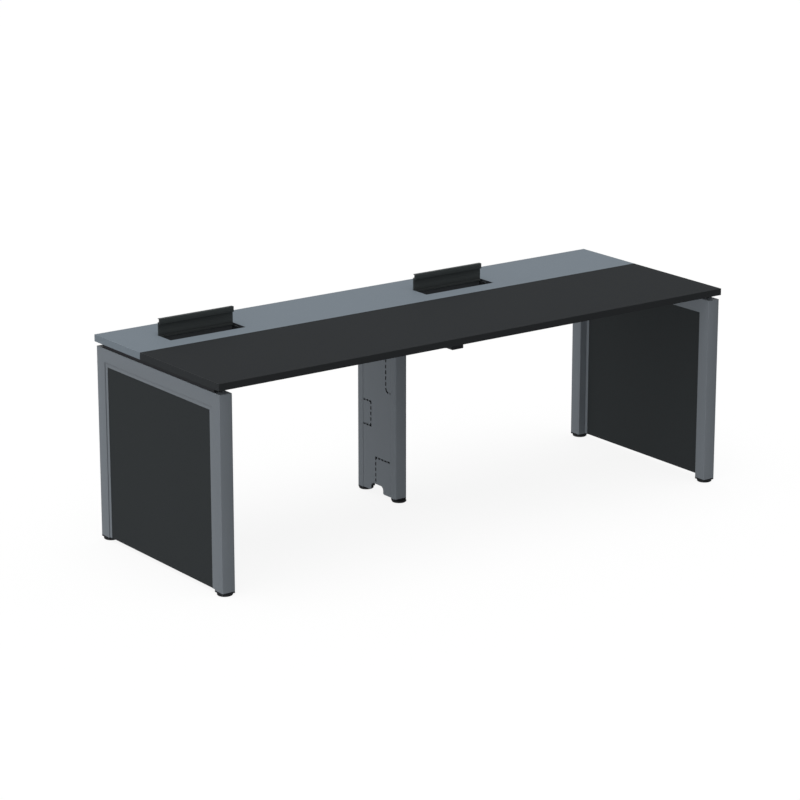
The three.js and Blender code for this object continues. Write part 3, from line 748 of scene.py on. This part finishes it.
# Painted shade: the front of the plate is darkened towards the rod, except for the heel and the back.
foot_shade = add_node(
    tree,
    "ShaderNodeMapRange",
    {"Value": axes.outputs[2], "From Min": rod.z, "From Max": rod.z + FOOT_SHADE_REACH, "To Min": FOOT_SHADE_TONE},
    interpolation_type="SMOOTHSTEP",
)
heel_unshaded = add_node(
    tree,
    "ShaderNodeMapRange",
    {
        "Value": axes.outputs[2],
        "From Min": rod.z,
        "From Max": rod.z + UNSHADED_HEEL,
        "To Min": 1.0,
        "To Max": 0.0,
    },
)
behind = add_math(tree, "GREATER_THAN", axes.outputs[1], rod.y)
unshaded = add_math(tree, "MAXIMUM", heel_unshaded.outputs[0], behind)
value = add_math(tree, "MAXIMUM", foot_shade.outputs[0], unshaded)
foot_shaded = add_node(tree, "ShaderNodeHueSaturation", {"Color": drawn_colour, "Value": value})
tree.links.new(foot_shaded.outputs[0], shader.inputs["Base Color"])


def lid_shell(node_name):
    shell = merged_copy(node_name)
    bmesh.ops.dissolve_limit(shell, angle_limit=ONE_PLANE, verts=shell.verts, edges=shell.edges)
    arrises = [
        edge
        for edge in shell.edges
        if len(edge.link_faces) == 2
        and edge.calc_face_angle() > CORNER_ANGLE
        and abs((edge.verts[1].co - edge.verts[0].co).normalized().x) > NEARLY_ALONG
    ]
    bmesh.ops.bevel(shell, geom=arrises, offset=LID_ARRIS, segments=2, profile=0.5, affect="EDGES")
    return shell


for side in ("left", "right"):
    lid = f"{side}_lid"
    extrusion = add_piece(f"{lid}_extrusion", lid_shell(lid), lid_anodised_and_shade, lid, "lid_aluminium", lid)
    hollow_pieces.append(extrusion)


# Socket screws and bolts that hold the desk together from below: bolts through the beams' end
# plates, screws up through the rails and the arm, and screws through the flanges of the trays.
BOLT_RADIUS = 0.0065
BOLT_HEAD = 0.0045
BOLT_SPREAD = 0.0205
BEAM_PLATE = 0.004
SCREW_RADIUS = 0.0050
SCREW_HEAD = 0.0025
SCREW_TO_PANEL = 0.012
RAIL_SHARES = (0.2, 0.5, 0.8)
ARM_SHARES = (0.12, 0.3)
TRAY_SCREWS = 5
TRAY_SHEET = 0.0015
FLANGE_MIDDLE = 0.022
HEAD_SIDES = 20
CROWN_SHARE = 0.82
SOCKET_SIDES = 6
SOCKET_SHARE = 0.45
DOWN = (0.0, 0.0, -1.0)
OXIDE_BLACK = (0.016, 0.017, 0.019, 1.0)
ZINC_GREY = (0.42, 0.44, 0.46, 1.0)
black_oxide = skinned_finish(
    "bolt_black_oxide",
    OXIDE_BLACK,
    roughness=0.4,
    grains=1500.0,
    depth=0.00001,
    drift=0.1,
    reflection=0.4,
)
zinc = drawn_finish(
    "screw_zinc",
    ZINC_GREY,
    roughness=0.35,
    line_scale=(900.0, 900.0, 900.0),
    contrast=0.1,
    depth=0.000005,
    metallic=1.0,
    reflection=0.5,
)

screws, given, result = new_group(
    "socket_screws",
    "GeometryNodeTree",
    [
        ("Places", "NodeSocketGeometry", None),
        ("Head Radius", "NodeSocketFloat", SCREW_RADIUS),
        ("Head Height", "NodeSocketFloat", SCREW_HEAD),
        ("Socket Radius", "NodeSocketFloat", SCREW_RADIUS * SOCKET_SHARE),
        ("Finish", "NodeSocketMaterial", None),
    ],
    [("Screws", "NodeSocketGeometry")],
)
head = add_node(
    screws,
    "GeometryNodeMeshCone",
    {
        "Vertices": HEAD_SIDES,
        "Radius Bottom": given["Head Radius"],
        "Radius Top": add_math(screws, "MULTIPLY", given["Head Radius"], CROWN_SHARE),
        "Depth": given["Head Height"],
    },
)
socket = add_node(
    screws,
    "GeometryNodeMeshCylinder",
    {"Vertices": SOCKET_SIDES, "Radius": given["Socket Radius"], "Depth": given["Head Height"]},
)
rise = add_node(screws, "ShaderNodeCombineXYZ", {"Z": given["Head Height"]})
raised = add_node(
    screws,
    "GeometryNodeTransform",
    {"Geometry": socket.outputs["Mesh"], "Translation": rise.outputs[0]},
)
cut = add_node(
    screws,
    "GeometryNodeMeshBoolean",
    {"Mesh 1": head.outputs["Mesh"], "Mesh 2": raised.outputs[0]},
    operation="DIFFERENCE",
)
facing = add_node(
    screws,
    "GeometryNodeInputNamedAttribute",
    {"Name": "facing"},
    data_type="FLOAT_VECTOR",
)
turn = add_node(screws, "FunctionNodeAlignRotationToVector", {"Vector": facing.outputs[0]}, axis="Z")
set_out = add_node(
    screws,
    "GeometryNodeInstanceOnPoints",
    {"Points": given["Places"], "Instance": cut.outputs["Mesh"], "Rotation": turn.outputs[0]},
)
made = add_node(screws, "GeometryNodeRealizeInstances", {"Geometry": set_out.outputs[0]})
finish = add_node(
    screws,
    "GeometryNodeSetMaterial",
    {"Geometry": made.outputs[0], "Material": given["Finish"]},
)
screws.links.new(finish.outputs[0], result["Screws"])


def bolt_places():
    places = []
    for side in ("left", "right"):
        for end in ("front", "rear"):
            low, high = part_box(f"{side}_{end}_beam")
            middle = (low + high) / 2
            for wall, towards in ((low.x + BEAM_PLATE, 1.0), (high.x - BEAM_PLATE, -1.0)):
                for spread in (-BOLT_SPREAD, BOLT_SPREAD):
                    places.append((Vector((wall, middle.y + spread, middle.z)), (towards, 0.0, 0.0)))
    return places


def board_screw_places():
    places = []
    for side, inward in (("left", 1.0), ("right", -1.0)):
        low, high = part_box(f"{side}_top_rail")
        x = (low.x + high.x) / 2 + inward * SCREW_TO_PANEL
        for share in RAIL_SHARES:
            places.append((Vector((x, low.y + share * (high.y - low.y), low.z)), DOWN))
    low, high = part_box("cross_arm")
    for share in ARM_SHARES:
        places.append((Vector((0.0, low.y + share * (high.y - low.y), low.z)), DOWN))
    return places


def tray_screw_places():
    places = []
    for side in ("left", "right"):
        low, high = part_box(f"{side}_cable_tray")
        for step in range(TRAY_SCREWS):
            x = low.x + (step + 0.5) / TRAY_SCREWS * (high.x - low.x)
            for y in (low.y + FLANGE_MIDDLE, high.y - FLANGE_MIDDLE):
                places.append((Vector((x, y, high.z - TRAY_SHEET)), DOWN))
    return places


def add_screws(name, places, radius, height, finish):
    mesh = bpy.data.meshes.new(name)
    mesh.from_pydata([middle for middle, direction in places], [], [])
    directions = mesh.attributes.new("facing", "FLOAT_VECTOR", "POINT")
    for item, (middle, direction) in zip(directions.data, places):
        item.vector = direction
    piece = new_piece(name, mesh)
    heads = piece.modifiers.new("socket_screws", "NODES")
    heads.node_group = screws
    set_input(heads, "Head Radius", radius)
    set_input(heads, "Head Height", height)
    set_input(heads, "Socket Radius", radius * SOCKET_SHARE)
    set_input(heads, "Finish", finish)
    bake_nodes(piece)
    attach(piece, "desk")


add_screws("beam_bolts", bolt_places(), BOLT_RADIUS, BOLT_HEAD, black_oxide)
add_screws("board_screws", board_screw_places(), SCREW_RADIUS, SCREW_HEAD, zinc)
add_screws("tray_screws", tray_screw_places(), SCREW_RADIUS, SCREW_HEAD, zinc)


# The studio: a plain pale floor that keeps the desk's shadow, a white surround that the camera and
# the reflections see, a soft lamp overhead, two from the front left, and one into the cable ports.
FLOOR_RADIUS = 80.0
FLOOR_SIDES = 96
FLOOR_BOUNCE = 0.12
FLOOR_GLOW = 0.88
SURROUND = 0.53
WHITE = (1.0, 1.0, 1.0, 1.0)
OVERHEAD = 0.455
OPEN_SIDE = 0.4
HOLLOW_SIDE = 0.38
PORT_SIDE = 0.34
floor_mesh = bpy.data.meshes.new("studio_floor")
floor_shell = bmesh.new()
bmesh.ops.create_circle(floor_shell, cap_ends=True, segments=FLOOR_SIDES, radius=FLOOR_RADIUS)
floor_shell.to_mesh(floor_mesh)
floor_shell.free()
floor = new_piece("studio_floor", floor_mesh)


def seen_directly(tree):
    path = add_node(tree, "ShaderNodeLightPath").outputs
    bright = add_math(tree, "MAXIMUM", path["Is Camera Ray"], path["Is Glossy Ray"])
    return add_math(tree, "MAXIMUM", bright, path["Is Transmission Ray"])


floor_paint = bpy.data.materials.new("studio_floor_paint")
floor_paint.use_nodes = True
tree = floor_paint.node_tree
tree.nodes.remove(tree.nodes["Principled BSDF"])
matt = add_node(tree, "ShaderNodeBsdfDiffuse", {"Color": (FLOOR_BOUNCE, FLOOR_BOUNCE, FLOOR_BOUNCE, 1.0)})
lift = add_math(tree, "MULTIPLY", seen_directly(tree), FLOOR_GLOW)
glow = add_node(tree, "ShaderNodeEmission", {"Strength": lift})
both = add_node(tree, "ShaderNodeAddShader", {0: matt.outputs[0], 1: glow.outputs[0]})
tree.links.new(both.outputs[0], tree.nodes["Material Output"].inputs["Surface"])
floor_mesh.materials.append(floor_paint)

surround = bpy.data.worlds.new("studio_surround")
surround.use_nodes = True
tree = surround.node_tree
soft = tree.nodes["Background"]
soft.inputs["Color"].default_value = WHITE
soft.inputs["Strength"].default_value = SURROUND
bright = add_node(tree, "ShaderNodeBackground", {"Color": WHITE, "Strength": 1.0})
choice = add_node(
    tree,
    "ShaderNodeMixShader",
    {0: seen_directly(tree), 1: soft.outputs[0], 2: bright.outputs[0]},
)
tree.links.new(choice.outputs[0], tree.nodes["World Output"].inputs["Surface"])
bpy.context.scene.world = surround


def add_lamp(name, strength, towards, spread):
    lamp = bpy.data.lights.new(name, "SUN")
    lamp.energy = strength * math.pi
    lamp.angle = math.radians(spread)
    holder = bpy.data.objects.new(name, lamp)
    holder.rotation_euler = Vector(towards).to_track_quat("Z", "Y").to_euler()
    bpy.context.scene.collection.objects.link(holder)
    return holder


def lit_pieces(name, pieces, state):
    group = bpy.data.collections.new(name)
    for piece in pieces:
        group.objects.link(piece)
    for member in group.collection_objects:
        member.light_linking.link_state = state
    return group


add_lamp("overhead_lamp", OVERHEAD, towards=(-0.1, -0.05, 1.0), spread=60.0)
open_fill = add_lamp("open_fill", OPEN_SIDE, towards=(-1.0, -0.38, 0.21), spread=20.0)
open_fill.data.use_shadow = False
not_open = lit_pieces("not_in_open_fill", hollow_pieces + liners, "EXCLUDE")
open_fill.light_linking.receiver_collection = not_open
hollow_fill = add_lamp("hollow_fill", HOLLOW_SIDE, towards=(-1.0, -0.51, 0.23), spread=20.0)
hollow_fill.light_linking.receiver_collection = lit_pieces("in_hollow_fill", hollow_pieces, "INCLUDE")
hollow_fill.light_linking.blocker_collection = lit_pieces("block_hollow_fill", hollow_pieces, "INCLUDE")
port_fill = add_lamp("port_fill", PORT_SIDE, towards=(0.0, -1.0, 0.5), spread=20.0)
port_fill.data.use_shadow = False
port_fill.light_linking.receiver_collection = lit_pieces("in_port_fill", liners, "INCLUDE")

bpy.context.scene.view_settings.view_transform = "Standard"
